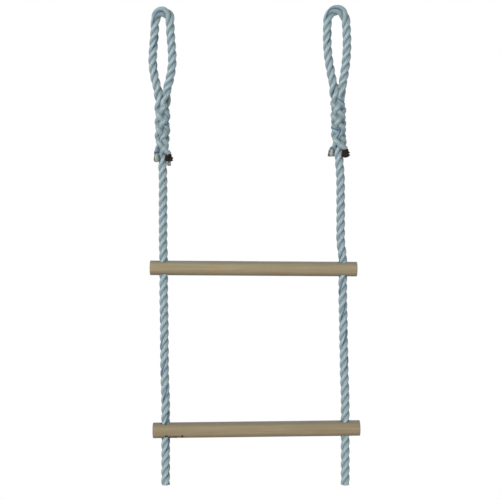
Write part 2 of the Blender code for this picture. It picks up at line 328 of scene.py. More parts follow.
def mixed(tree, amount, first, second, kind="MIX"):
    """Two colours mixed, the first where amount is 0."""
    made = add_node(tree, "ShaderNodeMix", data_type="RGBA", blend_type=kind)
    for key, value in ((0, amount), (6, first), (7, second)):
        if isinstance(value, bpy.types.NodeSocket):
            tree.links.new(value, made.inputs[key])
        elif key == 0:
            made.inputs[0].default_value = value
        else:
            made.inputs[key].default_value = (*value, 1.0)
    return made.outputs[2]


def attribute(tree, name, output):
    made = tree.nodes.new("ShaderNodeAttribute")
    made.attribute_name = name
    return made.outputs[output]


# The valley colour is painted shade, for the hollows between strands and between yarns.
ROPE_VALLEY_SHADE = (0.135, 0.190, 0.215)
ROPE_BODY = (0.225, 0.305, 0.325)
ROPE_CREST = (0.305, 0.400, 0.435)
# The line colour is a painted highlight along the outermost top of each strand.
ROPE_PAINTED_HIGHLIGHT = (0.500, 0.625, 0.670)
ROPE_GREEN = (0.215, 0.275, 0.255)
TRACER_BLUE = (0.030, 0.090, 0.165)
FIBRE_STREAKS = (34.0, 34.0, 120.0)
# How far from the rope's middle the painted valley shade ends and the crowns begin, and the painted highlight line
# starts and is full.
VALLEY_SHADE_R, CROWN_R = ROPE_R * 0.52, ROPE_R * 0.90
HIGHLIGHT_FROM_R, HIGHLIGHT_FULL_R = ROPE_R * 0.985, ROPE_R * 1.045
HIGHLIGHT_SHOWS = 0.62
GREEN_PATCH, GREEN_CONTRAST, GREEN_SHOWS = 0.016, 2.2, 0.55
SHADE_BETWEEN_YARNS = 0.60
TRACER_SHOWS = 0.85
ROPE_DULL, ROPE_SHINY = 0.58, 0.42


def rope_material():
    """Blue-grey rope: painted shade between strands and yarns, greenish in patches, a painted highlight along the
    top of each strand.
    """
    made, tree, shader, place = new_material("blue_grey_rope")
    fibre = attribute(tree, "fibre", "Vector")
    drawn = vectors(tree, "MULTIPLY", fibre, FIBRE_STREAKS)
    streak = add_node(tree, "ShaderNodeTexNoise", {
        "Vector": drawn, "Scale": 1.0, "Detail": 4.0, "Roughness": 0.65})
    streak = streak.outputs["Fac"]
    crown = eased(tree, attribute(tree, "crown", "Fac"), VALLEY_SHADE_R, CROWN_R)
    lobe = eased(tree, attribute(tree, "lobe", "Fac"), 0.0, 0.75)
    worn = eased(tree, streak, 0.35, 0.70)
    body = mixed(tree, worn, ROPE_BODY, ROPE_CREST)
    green = mixed(tree, GREEN_SHOWS, body, ROPE_GREEN)
    body = mixed(tree, blotched(tree, place, GREEN_PATCH, GREEN_CONTRAST), body, green)
    # Painted shade: the colour is darkened towards the valley colour down between strands and, less, between yarns.
    shade = maths(tree, "MULTIPLY", crown, maths(tree, "MULTIPLY_ADD", lobe, 1 - SHADE_BETWEEN_YARNS, SHADE_BETWEEN_YARNS))
    colour = mixed(tree, shade, ROPE_VALLEY_SHADE, body)
    # A painted highlight: a pale line along the outermost top of every strand.
    painted_highlight = eased(tree, attribute(tree, "crown", "Fac"), HIGHLIGHT_FROM_R, HIGHLIGHT_FULL_R, 0.0, HIGHLIGHT_SHOWS)
    colour = mixed(tree, painted_highlight, colour, ROPE_PAINTED_HIGHLIGHT)
    tracer = maths(tree, "MULTIPLY", attribute(tree, "tracer", "Fac"), TRACER_SHOWS)
    colour = mixed(tree, tracer, colour, TRACER_BLUE)
    tree.links.new(colour, shader.inputs["Base Color"])
    tree.links.new(eased(tree, streak, 0.3, 0.7, ROPE_DULL, ROPE_SHINY), shader.inputs["Roughness"])
    shader.inputs["Sheen Weight"].default_value = 0.15
    bump = add_node(tree, "ShaderNodeBump", {"Strength": 0.55, "Distance": 0.00025, "Height": streak})
    tree.links.new(bump.outputs[0], shader.inputs["Normal"])
    return made


rope_finish = rope_material()


def line_object(name, points):
    """A bare line of edges through the points, for a tree to work on."""
    mesh = bpy.data.meshes.new(name)
    mesh.from_pydata([tuple(p) for p in points], [(i, i + 1) for i in range(len(points) - 1)], [])
    made = bpy.data.objects.new(name, mesh)
    scene.collection.objects.link(made)
    return made


def made_by(tree, name, source, **values):
    """Runs a tree on source with those inputs, and keeps the result as a plain mesh object."""
    modifier = source.modifiers.new(tree.name, "NODES")
    modifier.node_group = tree
    sockets = {item.name: item.identifier for item in tree.interface.items_tree
               if item.item_type == "SOCKET" and item.in_out == "INPUT"}
    for label, value in values.items():
        modifier[sockets[label.replace("_", " ")]] = value
    bpy.context.view_layer.update()
    graph = bpy.context.evaluated_depsgraph_get()
    mesh = bpy.data.meshes.new_from_object(source.evaluated_get(graph))
    mesh.name = name
    bpy.data.objects.remove(source, do_unlink=True)
    made = bpy.data.objects.new(name, mesh)
    scene.collection.objects.link(made)
    return made


# Where each rope runs below its splice, as X at each height. It is drawn smoothly from one height to the next.
LINES = {
    "left": ((-0.1703, -0.1370), (-0.1702, -0.2560), (-0.1691, -0.3140), (-0.1691, -0.4150), (-0.1679, -0.4550),
             (-0.1679, -0.5130), (-0.1667, -0.5900), (-0.1664, -0.6480), (-0.1643, -0.7250), (-0.1643, -0.8735)),
    "right": ((0.1576, -0.1260), (0.1592, -0.2470), (0.1626, -0.3140), (0.1626, -0.4150), (0.1665, -0.4550),
              (0.1665, -0.5130), (0.1679, -0.5900), (0.1690, -0.6480), (0.1711, -0.7250), (0.1711, -0.8735)),
}
ROPE_TURN = {"left": 0.27, "right": 0.57}
LINE_STEP = 0.002
ROPE_END = -0.8735
# The strands run on this far past the end, to be cut off square.
CUT_SPARE = 0.004


def rope_x(side, z):
    """The rope's X at a height, with no corner anywhere."""
    knots = LINES[side]
    for (x0, z0), (x1, z1) in zip(knots, knots[1:]):
        if z >= z1:
            share = (z0 - z) / (z0 - z1)
            return x0 + (x1 - x0) * share * share * (3 - 2 * share)
    return knots[-1][0]


def rope_points(side, high, low):
    count = max(2, round((high - low) / LINE_STEP))
    return [Vector((rope_x(side, z), 0, z)) for z in np.linspace(high, low, count + 1)]


def length_of(points):
    return sum((b - a).length for a, b in zip(points, points[1:]))


# The rope bends where it has to: under the splice, and where it enters and leaves each rung. Each stretch here
# holds one bend, from the height where it starts to the height where it ends, and stands for one CAD link.
STRETCHES = (
    # piece, top, bottom, the bend's start and end, the CAD node, the body above and the body below
    ("rope_below_rung_2", -0.7690, -0.8735, -0.786, -0.840, "rope_tail", "rung_2", "tail"),
    ("rope_below_splice", None, -0.3140, -0.270, -0.314, "upper_rope_1", "hanging_eyes", "upper_1"),
    ("rope_sway_top", -0.3140, -0.3645, -0.314, -0.334, "upper_rope_2", "upper_1", "upper_2"),
    ("rope_sway_foot", -0.3645, -0.4150, -0.395, -0.415, "upper_rope_3", "upper_2", "upper_3"),
    ("rope_into_rung_1", -0.4150, -0.4690, -0.415, -0.453, "rope_in_rung_1", "upper_3", "rung_1"),
    ("rope_out_of_rung_1", -0.4690, -0.5515, -0.485, -0.541, "middle_rope_1", "rung_1", "middle_1"),
    ("rope_fold_upper", -0.5515, -0.6190, -0.561, -0.619, "middle_rope_2", "middle_1", "middle_2"),
    ("rope_fold_lower", -0.6190, -0.6875, -0.619, -0.677, "middle_rope_3", "middle_2", "middle_3"),
    ("rope_into_rung_2", -0.6875, -0.7690, -0.698, -0.752, "rope_in_rung_2", "middle_3", "rung_2"),
)


def cut_square(piece, z):
    """Cuts a piece off level at a height, and closes the cut."""
    shape = bmesh.new()
    shape.from_mesh(piece.data)
    every = [*shape.verts, *shape.edges, *shape.faces]
    bmesh.ops.bisect_plane(shape, geom=every, dist=1e-6, plane_co=(0, 0, z), plane_no=(0, 0, -1),
                           clear_outer=True)
    bmesh.ops.holes_fill(shape, edges=[edge for edge in shape.edges if edge.is_boundary])
    bmesh.ops.recalc_face_normals(shape, faces=shape.faces)
    shape.to_mesh(piece.data)
    shape.free()


for side in ("left", "right"):
    splice_top, shoulder = LINES[side][0][1], LINES[side][1][1]
    for piece, top, bottom, bend_start, bend_end, node, above, below in STRETCHES:
        top = shoulder if top is None else top
        points = rope_points(side, top, bottom)
        drawn = [*points, points[-1] - Vector((0, 0, CUT_SPARE))] if bottom == ROPE_END else points
        rope = made_by(laid_rope, f"{side}_{piece}", line_object(f"{side}_{piece}_line", drawn),
                       Start=length_of(rope_points(side, splice_top, top)), Turn=ROPE_TURN[side], Lay=LAY[side],
                       Finish=rope_finish)
        if bottom == ROPE_END:
            cut_square(rope, ROPE_END)
        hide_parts(f"{side}_{node}")
        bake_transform(rope)
        if below == "tail":
            rope_x(side, top)

# The hanging eyes. The rope is turned back on itself in a long narrow loop, open enough for a hook, with its two
# legs side by side at the throat. Round the crown the strands open up and run nearly along the bend.
# Each eye's throat and crown as X and Z, and half the distance between its legs' middles with the Z it is at.
EYES = {
    "left": {
        "throat": (-0.1703, -0.1370),
        "crown": (-0.1698, 0.0100),
        "half_widths": ((0.0084, -0.1370), (0.0088, -0.1345), (0.0122, -0.1224), (0.0150, -0.1100),
                        (0.0177, -0.0925), (0.0183, -0.0775), (0.0170, -0.0551), (0.0150, -0.0327),
                        (0.0138, -0.0080), (0.0105, 0.0045)),
    },
    "right": {
        "throat": (0.1576, -0.1260),
        "crown": (0.1550, 0.0125),
        "half_widths": ((0.0084, -0.1260), (0.0086, -0.1235), (0.0103, -0.1180), (0.0134, -0.0999),
                        (0.0166, -0.0780), (0.0182, -0.0560), (0.0184, -0.0400), (0.0179, -0.0215),
                        (0.0168, -0.0060), (0.0112, 0.0085)),
    },
}
# Over the crown, this share of the rope's run to either side, the strands untwist by a length of slack, spread
# sideways and fatten.
CROWN_REACH = 0.12
CROWN_SLACK = 0.020
CROWN_SWELL = 0.30
CROWN_FATNESS = 0.20
EYE_SAMPLES = 12


def smooth_route(points, samples):
    """A smooth curve through all the points, with that many steps between each two."""
    ends = [points[0] * 2 - points[1], *points, points[-1] * 2 - points[-2]]
    route = []
    for before, a, b, after in zip(ends, ends[1:], ends[2:], ends[3:]):
        for step in range(samples):
            t = step / samples
            bend = (2 * a + (b - before) * t + (2 * before - 5 * a + 4 * b - after) * t ** 2
                    + (3 * a - before - 3 * b + after) * t ** 3)
            route.append(bend / 2)
    return [*route, points[-1]]


def eye_route(side):
    """From the throat up the right leg, over the crown and down the left leg, which runs on as the side rope."""
    facts = EYES[side]
    (throat_x, throat_z), (crown_x, crown_z) = facts["throat"], facts["crown"]

    def middle(z):
        return throat_x + (crown_x - throat_x) * (z - throat_z) / (crown_z - throat_z)

    up = [Vector((middle(z) + half, 0, z)) for half, z in facts["half_widths"]]
    down = [Vector((middle(z) - half, 0, z)) for half, z in reversed(facts["half_widths"])]
    return smooth_route([*up, Vector((crown_x, 0, crown_z)), *down], EYE_SAMPLES)


for side in EYES:
    route = eye_route(side)
    eye = made_by(laid_rope, f"{side}_hanging_eye", line_object(f"{side}_eye_line", route),
                  Start=-length_of(route), Turn=ROPE_TURN[side], Lay=LAY[side], Crown_swell=CROWN_SWELL,
                  Crown_slack=CROWN_SLACK, Crown_reach=CROWN_REACH,
                  Crown_fatness=CROWN_FATNESS, Finish=rope_finish)
    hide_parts(f"{side}_eye")
    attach(eye, "hanging_eyes")

# The splices. Under each throat the rope's end is unlaid, and its three strands are tucked over and under the three
# strands of the standing rope, turning against them, so that both sets plait into one fat stretch.
# The height in which the two legs come together, and the heights above the lower end in which the tucked strands
# find their last places and then leave the rope.
MARRIED = 0.038
SETTLING = 0.050
SHOULDER = 0.010
# How far a strand swings in and out of the middle radius, which changes down the splice's height.
WEAVE = 0.0023
SPLICE_R = ((0.0, 0.0086), (0.25, 0.0079), (0.60, 0.0077), (0.90, 0.0076), (1.0, 0.0075))
SPLICE_LAY = 0.072
STRANDS_EASED_BACK = 2
TUCKED_FATNESS = 1.18
CORE_R = 0.0082
CORE_LEAST = 0.15
TUCK_STEP = 0.0015
STRAND_GAP = 0.0009
# The tucked strands' ends, in order round the rope: kind, bearing in degrees from +X, radius, length and lean.
STRAND_ENDS = {
    "left": (("bead", 217, 0.0044, 0.0160, 0.0), ("pale", 25, 0.0033, 0.0215, 0.06),
             ("burnt", -27, 0.0052, 0.0150, 0.05)),
    "right": (("cut", 148, 0.0056, 0.0125, 0.12), ("pale", 60, 0.0036, 0.0120, 0.10),
              ("burnt", -36, 0.0054, 0.0165, 0.0)),
}


def smooth(value):
    """From 0 to 1 with a soft start and a soft end."""
    value = min(1.0, max(0.0, value))
    return value * value * (3 - 2 * value)


def tucked_strands_tree():
    """Gives a body to strands whose lines are worked out beforehand, point by point."""
    tree, given = geometry_tree("tucked_strands", (("Lines", "Geometry", None), *SKIN_INPUTS))
    strands = add_node(tree, "GeometryNodeMeshToCurve", {"Mesh": given["Lines"]}).outputs[0]
    fields = {}
    for label, kind in (("Outward", "FLOAT_VECTOR"), ("Centre", "FLOAT_VECTOR"), ("Axis", "FLOAT_VECTOR"),
                        ("Running", "FLOAT"), ("Strand", "FLOAT"), ("Thickness", "FLOAT"),
                        ("Crown_scale", "FLOAT")):
        named = add_node(tree, "GeometryNodeInputNamedAttribute", {"Name": label.lower()}, data_type=kind)
        fields[label] = named.outputs["Attribute"]
    return skinned(tree, given, strands, **fields)


tucked_strands = tucked_strands_tree()


def strand_lines_object(name, lines):
    """Lines of edges, each point a dict of what the tucked strands' tree reads."""
    points = [point for line in lines for point in line]
    edges, first = [], 0
    for line in lines:
        edges += [(i, i + 1) for i in range(first, first + len(line) - 1)]
        first += len(line)
    mesh = bpy.data.meshes.new(name)
    mesh.from_pydata([tuple(point["spot"]) for point in points], edges, [])
    for label in ("outward", "centre", "axis"):
        made = mesh.attributes.new(label, "FLOAT_VECTOR", "POINT")
        made.data.foreach_set("vector", [value for point in points for value in point[label]])
    for label in ("running", "strand", "thickness", "crown_scale"):
        made = mesh.attributes.new(label, "FLOAT", "POINT")
        made.data.foreach_set("value", [point[label] for point in points])
    made = bpy.data.objects.new(name, mesh)
    scene.collection.objects.link(made)
    return made


THIRD_TURN = 2 * math.pi / 3


def round_the_rope(angle):
    """The level direction at an angle from +X, as a rope that runs down is laid."""
    return Vector((math.cos(angle), math.sin(angle), 0))


def strand_point(spot, outward, running, strand, thickness):
    """One point of a tucked strand. Its crown is told from a centre one helix radius inside it."""
    scale = (HELIX_R + STRAND_R) / (HELIX_R + STRAND_R * thickness)
    return {"spot": spot, "outward": outward, "centre": spot - outward * HELIX_R, "axis": Vector((0, 0, -1)),
            "running": running, "strand": strand, "crown_scale": scale, "thickness": thickness}


def splice_lines(side):
    """Both sets of three strands and the core, from the throat down to the shoulder."""
    top_z, low_z = LINES[side][0][1], LINES[side][1][1]
    height, apart = top_z - low_z, EYES[side]["half_widths"][0][0]
    loop, lay_turn, third = length_of(eye_route(side)), 2 * math.pi / LAY[side], THIRD_TURN
    tucked_first = math.pi - ROPE_TURN[side] - lay_turn * (loop - CROWN_SLACK)
    ends = STRAND_ENDS[side]
    level = sum(math.radians(bearing) + third * place for place, (_, bearing, *_) in enumerate(ends)) / 3
    settle = [math.radians(bearing) + third * place - level for place, (_, bearing, *_) in enumerate(ends)]
    married_low = height - MARRIED / 2
    unturned = tucked_first - lay_turn * (height - married_low)
    steps = round((unturned + 2 * math.pi / SPLICE_LAY * married_low - level) / third)
    tuck_turn = (level + third * steps - unturned) / married_low
    eased_back = third * STRANDS_EASED_BACK / (height - (MARRIED + SHOULDER) / 2)

    def married(down):
        share = min(1.0, down / MARRIED)
        return MARRIED * (share ** 3 - share ** 4 / 2) + max(0.0, down - MARRIED)

    def left_again(down):
        share = max(0.0, down - height + SHOULDER) / SHOULDER
        return SHOULDER * (share ** 3 - share ** 4 / 2)

    rows = max(2, round(height / TUCK_STEP))
    lines = [[] for _ in range(7)]
    for row in range(rows + 1):
        down = height * row / rows
        middle = Vector((rope_x(side, top_z - down), 0, top_z - down))
        joined, leaving = smooth(down / MARRIED), smooth((down - height + SHOULDER) / SHOULDER)
        standing = ROPE_TURN[side] - lay_turn * down + eased_back * (married(down) - left_again(down))
        tucked = tucked_first - lay_turn * (down - married(down)) + tuck_turn * married(down)
        over = math.cos(math.pi * (tucked - standing) / third)
        waist = np.interp(down / height, [share for share, _ in SPLICE_R], [radius for _, radius in SPLICE_R])
        settled = smooth((down - height + SETTLING) / SETTLING)
        fat = 1 + (TUCKED_FATNESS - 1) * joined
        for place in range(3):
            reach = HELIX_R + (waist - WEAVE * over - HELIX_R) * joined * (1 - leaving)
            outward = round_the_rope(standing + third * place)
            leg = middle - Vector((apart * (1 - joined), 0, 0))
            lines[place].append(strand_point(leg + outward * reach, outward, down, place,
                                             fat + (1 - fat) * leaving))

            goal = (place - steps) % 3
            _, _, end_radius, _, _ = ends[goal]
            root = ROPE_R + end_radius + STRAND_GAP
            reach = HELIX_R + (waist + WEAVE * over - HELIX_R) * joined
            reach += (root - reach) * leaving
            outward = round_the_rope(tucked - third * place + settle[goal] * settled)
            leg = middle + Vector((apart * (1 - joined), 0, 0))
            lines[3 + place].append(strand_point(leg + outward * reach, outward, loop + down, place,
                                                 fat + (end_radius / STRAND_R - fat) * leaving))
        core = CORE_R * max(CORE_LEAST, joined * (1 - leaving))
        lines[6].append(strand_point(middle, Vector((0, 1, 0)), down, 1, core / STRAND_R))
    return lines


for side in EYES:
    splice = made_by(tucked_strands, f"{side}_splice_plait",
                     strand_lines_object(f"{side}_splice_lines", splice_lines(side)), Finish=rope_finish)
    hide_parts(f"{side}_splice")
    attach(splice, "hanging_eyes")

# The strand ends under each shoulder. The tucked strands were cut and sealed with a flame: one of each three is
# charred black, one is melted to a bead or cut square, and the one behind is left pale.
END_SIDES = 36
END_RINGS = 30
# Along each kind of end: the share of its length and its girth there, then how rough it is and how square. A
# squareness of 2 is round.
END_FORMS = {
    "burnt": (((0, 0.95), (0.15, 0.98), (0.40, 1.10), (0.65, 1.28), (0.85, 1.12), (0.95, 0.75), (1.0, 0.25)),
              0.52, 2.0),
    "bead": (((0, 0.90), (0.25, 0.88), (0.50, 1.08), (0.72, 1.18), (0.88, 0.98), (0.97, 0.55), (1.0, 0.18)),
             0.07, 2.0),
    "cut": (((0, 0.95), (0.50, 1.02), (0.92, 1.10), (0.98, 1.06), (1.0, 0.96)), 0.07, 3.2),
    "pale": (((0, 1.0), (0.50, 0.98), (0.90, 1.06), (0.98, 1.02), (1.0, 0.90)), 0.05, 2.0),
}
# The lumps on an end: how fine they are, how they fall off and spread over how many levels, what sets one end's
# apart from another's, and the share of the length in which they grow to their full height.
LUMP_FINENESS = 300
LUMP_FALL, LUMP_SPREAD, LUMP_LEVELS = 0.8, 2.1, 3
LUMP_SEED = (3.7, 1.9, 0.4)
LUMPS_FULL_AT = 0.25
# The flame came from the left: it singed that side, more at the tip and on the lumps.
SINGED_ALL_OVER = 0.12
SINGED_LUMPS = 0.4
SINGED_TIP = 0.1
SHARP_ANGLE = 50


def lofted(name, rings, finish):
    """A closed body through rings of equal count, flat at both ends."""
    shape = bmesh.new()
    rows = [[shape.verts.new(point) for point in ring] for ring in rings]
    count = len(rows[0])
    for upper, lower in zip(rows, rows[1:]):
        for i in range(count):
            shape.faces.new((upper[i], upper[(i + 1) % count], lower[(i + 1) % count], lower[i]))
    shape.faces.new(rows[0])
    shape.faces.new(rows[-1])
    bmesh.ops.recalc_face_normals(shape, faces=shape.faces)
    mesh = bpy.data.meshes.new(name)
    shape.to_mesh(mesh)
    shape.free()
    mesh.materials.append(finish)
    mesh.shade_smooth()
    mesh.set_sharp_from_angle(angle=math.radians(SHARP_ANGLE))
    made = bpy.data.objects.new(name, mesh)
    scene.collection.objects.link(made)
    return made


CHAR_BLACK = (0.005, 0.004, 0.003)
CHAR_BROWN = (0.090, 0.045, 0.022)
MELTED_PALE = (0.300, 0.355, 0.340)
MELTED_GREY = (0.235, 0.290, 0.280)
SINGED_TAN = (0.120, 0.085, 0.060)
SINGED_BROWN = (0.055, 0.032, 0.024)
CRUST_PATCH, CRUST_CONTRAST = 0.0014, 2.6
CLOUD_PATCH, CLOUD_CONTRAST = 0.0040, 2.4


def charred_material():
    """Charred rope: a black crust that breaks to brown in patches."""
    made, tree, shader, place = new_material("charred_strand")
    crust = blotched(tree, place, CRUST_PATCH, CRUST_CONTRAST)
    colour = mixed(tree, eased(tree, crust, 0.50, 0.80), CHAR_BLACK, CHAR_BROWN)
    tree.links.new(colour, shader.inputs["Base Color"])
    tree.links.new(eased(tree, crust, 0.3, 0.8, 0.50, 0.85), shader.inputs["Roughness"])
    shader.inputs["Specular IOR Level"].default_value = 0.25
    bump = add_node(tree, "ShaderNodeBump", {"Strength": 0.8, "Distance": 0.0004, "Height": crust})
    tree.links.new(bump.outputs[0], shader.inputs["Normal"])
    return made


def melted_material():
    """Melted rope: grey where it stayed clean, tan and dark brown where the flame touched it."""
    made, tree, shader, place = new_material("melted_strand")
    cloud = blotched(tree, place, CLOUD_PATCH, CLOUD_CONTRAST)
    singe = eased(tree, attribute(tree, "singe", "Fac"), 0.35, 0.95)
    clean = mixed(tree, cloud, MELTED_GREY, MELTED_PALE)
    singed = mixed(tree, cloud, SINGED_TAN, SINGED_BROWN)
    tree.links.new(mixed(tree, singe, clean, singed), shader.inputs["Base Color"])
    tree.links.new(eased(tree, cloud, 0.3, 0.7, 0.55, 0.36), shader.inputs["Roughness"])
    shader.inputs["Subsurface Weight"].default_value = 0.08
    shader.inputs["Subsurface Radius"].default_value = (0.002, 0.002, 0.002)
    bump = add_node(tree, "ShaderNodeBump", {"Strength": 0.35, "Distance": 0.0003, "Height": cloud})
    tree.links.new(bump.outputs[0], shader.inputs["Normal"])
    return made


END_FINISH = {"burnt": charred_material(), "bead": melted_material()}
END_FINISH["cut"] = END_FINISH["pale"] = END_FINISH["bead"]

for side, ends in STRAND_ENDS.items():
    shoulder = Vector((LINES[side][1][0], 0, LINES[side][1][1]))
    for place, (kind, bearing, radius, length, lean) in enumerate(ends):
        form, rough, squareness = END_FORMS[kind]
        outward = round_the_rope(math.radians(bearing))
        seed = Vector((place * LUMP_SEED[0], len(side) * LUMP_SEED[1], LUMP_SEED[2]))
        rings, singe = [], []
        for row in range(END_RINGS + 1):
            share = row / END_RINGS
            middle = (shoulder + outward * (ROPE_R + radius + STRAND_GAP + lean * length * share)
                      - Vector((0, 0, length * share)))
            girth = radius * np.interp(share, [at for at, _ in form], [size for _, size in form])
            ring = []
            for i in range(END_SIDES):
                turn = 2 * math.pi * i / END_SIDES
                around = round_the_rope(turn + math.radians(bearing))
                cosine, sine = abs(math.cos(turn)), abs(math.sin(turn))
                square = (cosine ** squareness + sine ** squareness) ** (-1 / squareness)
                spot = middle + around * girth * square
                lump = noise.fractal(spot * LUMP_FINENESS + seed, LUMP_FALL, LUMP_SPREAD, LUMP_LEVELS)
                spot = spot + around * (girth * rough * lump * min(1.0, share / LUMPS_FULL_AT))
                ring.append(spot)
                singe.append(SINGED_ALL_OVER + SINGED_LUMPS * lump + SINGED_TIP * share - around.x)
            rings.append(ring)
        end = lofted(f"{side}_{kind}_end", rings, END_FINISH[kind])
        tinge = end.data.attributes.new("singe", "FLOAT", "POINT")
        tinge.data.foreach_set("value", [0.0 if kind == "pale" else max(0.0, value) for value in singe])
        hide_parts(f"{side}_strand_end_{kind}")
        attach(end, "hanging_eyes")

# The rungs. Each is a turned beech bar with softly broken ends, drilled straight through for both ropes and from
# behind for the two nails. The wood is bare, with painted shade that greys and darkens its top and darkens its
# underside.
RUNG_LENGTH = 0.386
RUNG_CHAMFER = 0.0012
RUNG_SIDES = 96
RUNG_RINGS = 64
CHAMFER_STEPS = 4
# centre X, centre Z, radius, and the slope of the rung in degrees, up to the right.
RUNGS = {"rung_1": (-0.0001, -0.4697, 0.0137, -0.36), "rung_2": (0.0053, -0.7698, 0.0144, 0.70)}
ROPE_HOLE_R, ROPE_HOLE_SIDES = 0.0085, 64
NAIL_HOLE_R, NAIL_HOLE_SIDES = 0.0018, 32
NAIL_SINK_R, NAIL_SINK_SIDES = 0.0035, 48
NAIL_SINK_DEPTH = 0.0020
NAIL_DEPTH = 0.0100
NAIL_GAP = 0.0003
# The stained stretch under the lower rung, with the X of the two dark spots at its ends and their height.
STAINED_RUNG = "rung_2"
STAIN = {"from": -0.1650, "to": -0.1290, "spots": (-0.1621, -0.1328), "height": -0.7812}
STAIN_FADES_OUT, STAIN_FADES_IN = 0.004, 0.003
SPOT_R, SPOT_EDGE_R = 0.0015, 0.0032
BEECH_PALE = (0.338, 0.266, 0.148)
BEECH_BODY = (0.252, 0.190, 0.100)
BEECH_FIGURE = (0.290, 0.208, 0.106)
BEECH_FLECK = (0.120, 0.075, 0.038)
TOP_PAINTED_SHADE = (0.160, 0.155, 0.125)
WEATHERED_PATCH = (0.262, 0.242, 0.175)
UNDERSIDE_PAINTED_SHADE = (0.150, 0.096, 0.056)
BROWNED_ALL_OVER = (0.150, 0.085, 0.035)
STAIN_BROWN = (0.040, 0.017, 0.008)
SPOT_BLACK = (0.014, 0.008, 0.005)
# How finely each pattern of the wood is drawn along the rung and across it.
GRAIN_DRAWN = (11.0, 260.0, 260.0)
FIGURE_DRAWN = (5.0, 70.0, 70.0)
FLECKS_DRAWN = (330.0, 1500.0, 1500.0)


def beech_material(rung):
    """Bare beech, with painted shade that greys and darkens the top and darkens the underside, told by the height
    above the rung's own middle.
    """
    centre_x, centre_z, radius, slope = RUNGS[rung]
    steepness = math.tan(math.radians(slope))
    made, tree, shader, place = new_material(f"beech_{rung}")
    apart = add_node(tree, "ShaderNodeSeparateXYZ", {0: place}).outputs
    rise = maths(tree, "MULTIPLY_ADD", apart[0], -steepness, centre_x * steepness - centre_z)
    height = maths(tree, "DIVIDE", maths(tree, "ADD", apart[2], rise), radius)
    grain = vectors(tree, "MULTIPLY", place, GRAIN_DRAWN)
    grain = add_node(tree, "ShaderNodeTexNoise", {"Vector": grain, "Scale": 1.0, "Detail": 5.0, "Roughness": 0.6,
                                                  "Distortion": 0.3}).outputs["Fac"]
    figure = vectors(tree, "MULTIPLY", place, FIGURE_DRAWN)
    figure = add_node(tree, "ShaderNodeTexNoise", {"Vector": figure, "Scale": 1.0, "Detail": 2.0,
                                                   "Distortion": 0.8}).outputs["Fac"]
    flecks = vectors(tree, "MULTIPLY", place, FLECKS_DRAWN)
    flecks = add_node(tree, "ShaderNodeTexVoronoi", {"Vector": flecks, "Scale": 1.0}).outputs["Distance"]
    fleck = eased(tree, flecks, 0.10, 0.26, 1.0, 0.0)
    wood = mixed(tree, eased(tree, grain, 0.30, 0.72), BEECH_BODY, BEECH_PALE)
    wood = mixed(tree, eased(tree, figure, 0.38, 0.66, 0.0, 0.45), wood, BEECH_FIGURE)
    wood = mixed(tree, maths(tree, "MULTIPLY", fleck, 0.40), wood, BEECH_FLECK)
    # Painted shade: the top of the rung is greyed and darkened.
    wood = mixed(tree, eased(tree, height, 0.35, 1.0, 0.0, 0.90), wood, TOP_PAINTED_SHADE)
    # Painted shade: the underside of the rung is darkened to brown.
    wood = mixed(tree, eased(tree, height, -0.35, -1.0, 0.0, 0.75), wood, UNDERSIDE_PAINTED_SHADE)
    wood = mixed(tree, blotched(tree, place, 0.030, 1.6), wood, mixed(tree, 0.35, wood, WEATHERED_PATCH))
    if rung == STAINED_RUNG:
        wood = mixed(tree, 0.16, wood, BROWNED_ALL_OVER)
        left, right = STAIN["from"], STAIN["to"]
        across = maths(tree, "MULTIPLY",
                       eased(tree, apart[0], left - STAIN_FADES_OUT, left + STAIN_FADES_IN),
                       eased(tree, apart[0], right + STAIN_FADES_OUT, right - STAIN_FADES_IN))
        under = maths(tree, "MULTIPLY", across, eased(tree, height, -0.52, -0.80))
        under = maths(tree, "MULTIPLY", under, eased(tree, blotched(tree, place, 0.006, 3.0), 0.15, 0.60))
        wood = mixed(tree, under, wood, STAIN_BROWN)
        for x in STAIN["spots"]:
            flat = vectors(tree, "MULTIPLY", place, (1.0, 0.0, 1.0))
            far = vectors(tree, "DISTANCE", flat, (x, 0.0, STAIN["height"]))
            wood = mixed(tree, eased(tree, far, SPOT_R, SPOT_EDGE_R, 0.97, 0.0), wood, SPOT_BLACK)
    tree.links.new(wood, shader.inputs["Base Color"])
    tree.links.new(eased(tree, grain, 0.3, 0.7, 0.72, 0.56), shader.inputs["Roughness"])
    relief = maths(tree, "SUBTRACT", grain, maths(tree, "MULTIPLY", fleck, 0.5))
    bump = add_node(tree, "ShaderNodeBump", {"Strength": 0.30, "Distance": 0.0002, "Height": relief})
    tree.links.new(bump.outputs[0], shader.inputs["Normal"])
    return made


def circle_round(middle, along, across, radius, sides):
    other = along.cross(across).normalized()
    turns = [2 * math.pi * i / sides for i in range(sides)]
    return [middle + (across * math.cos(a) + other * math.sin(a)) * radius for a in turns]


def drill(piece, name, low, high, radius, sides):
    """Cuts a round hole from low to high, and gives the cutting body, to be taken away afterwards."""
    along = (high - low).normalized()
    across = along.orthogonal().normalized()
    rings = [circle_round(end, along, across, radius, sides) for end in (low, high)]
    tool = lofted(name, rings, piece.data.materials[0])
    modifier = piece.modifiers.new(name, "BOOLEAN")
    modifier.operation = "DIFFERENCE"
    modifier.solver = "EXACT"
    modifier.object = tool
    return tool


